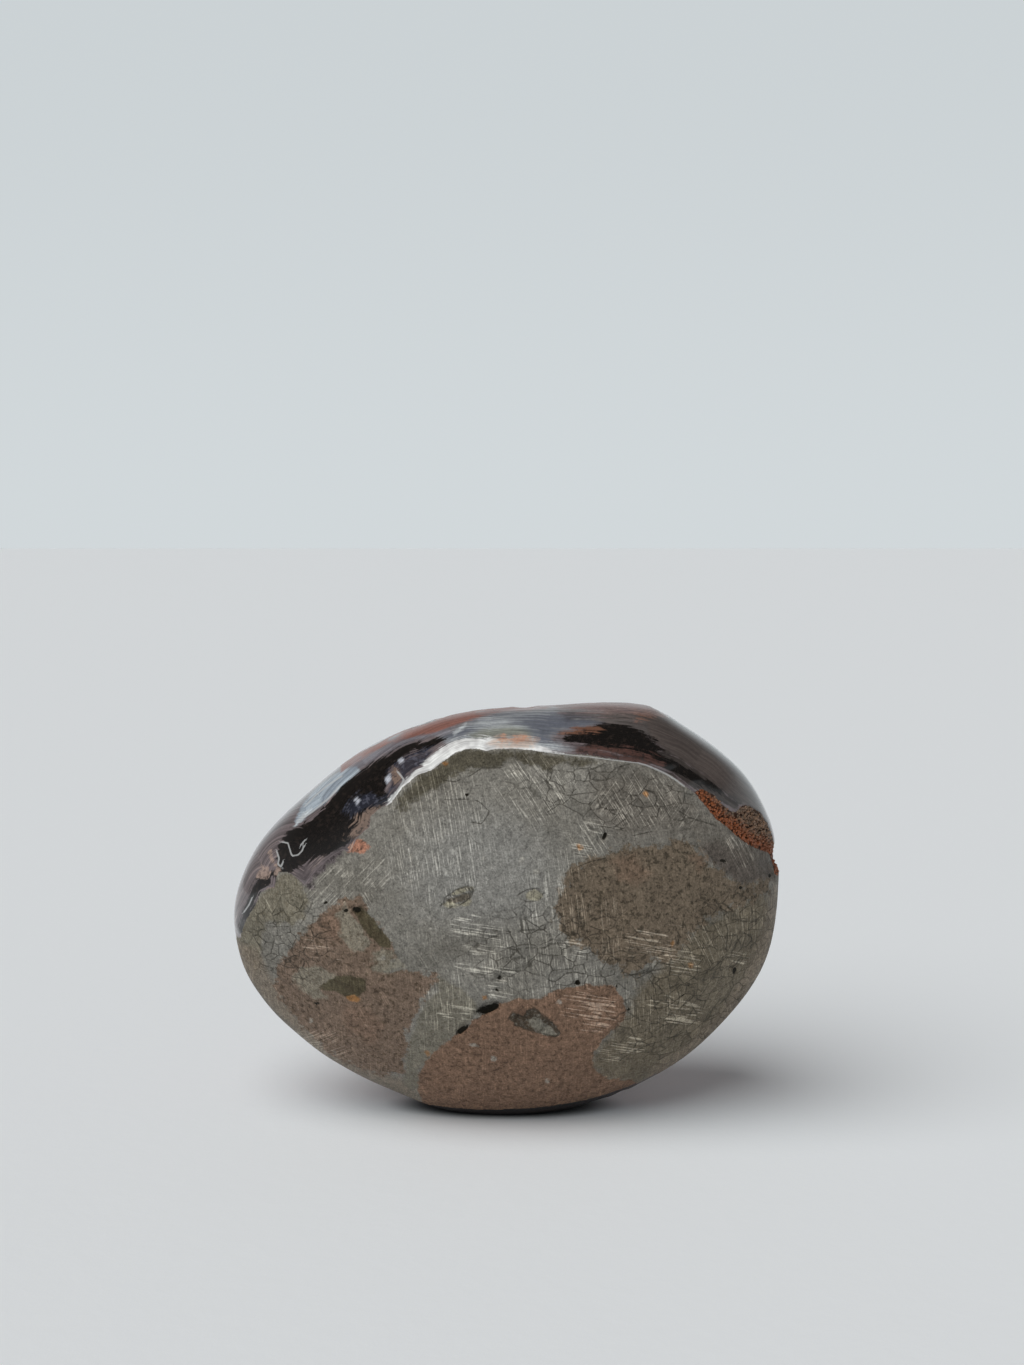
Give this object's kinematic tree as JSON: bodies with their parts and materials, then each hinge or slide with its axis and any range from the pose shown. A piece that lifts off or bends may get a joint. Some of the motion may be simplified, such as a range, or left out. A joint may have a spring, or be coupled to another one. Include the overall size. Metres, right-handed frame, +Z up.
{
  "type": "polished chalcedony stone",
  "caption": "Hand-polished oval stone standing on its edge: matte grey-brown host rock on its ground front, glossy red and black banded chalcedony over the crown and back",
  "frame": {"origin": "on the supporting surface, under the centre of the stone's bounding box", "axes": "+X along the stone's length to the right, +Y from the ground front face to the polished back, +Z up"},
  "size_m": [0.0634, 0.0318, 0.0485],
  "materials": {
    "stone": "matte ground rock in front, glossy polish on the chalcedony"
  },
  "bodies": {
    "root": {"stone": "stone"}
  },
  "joints": []
}
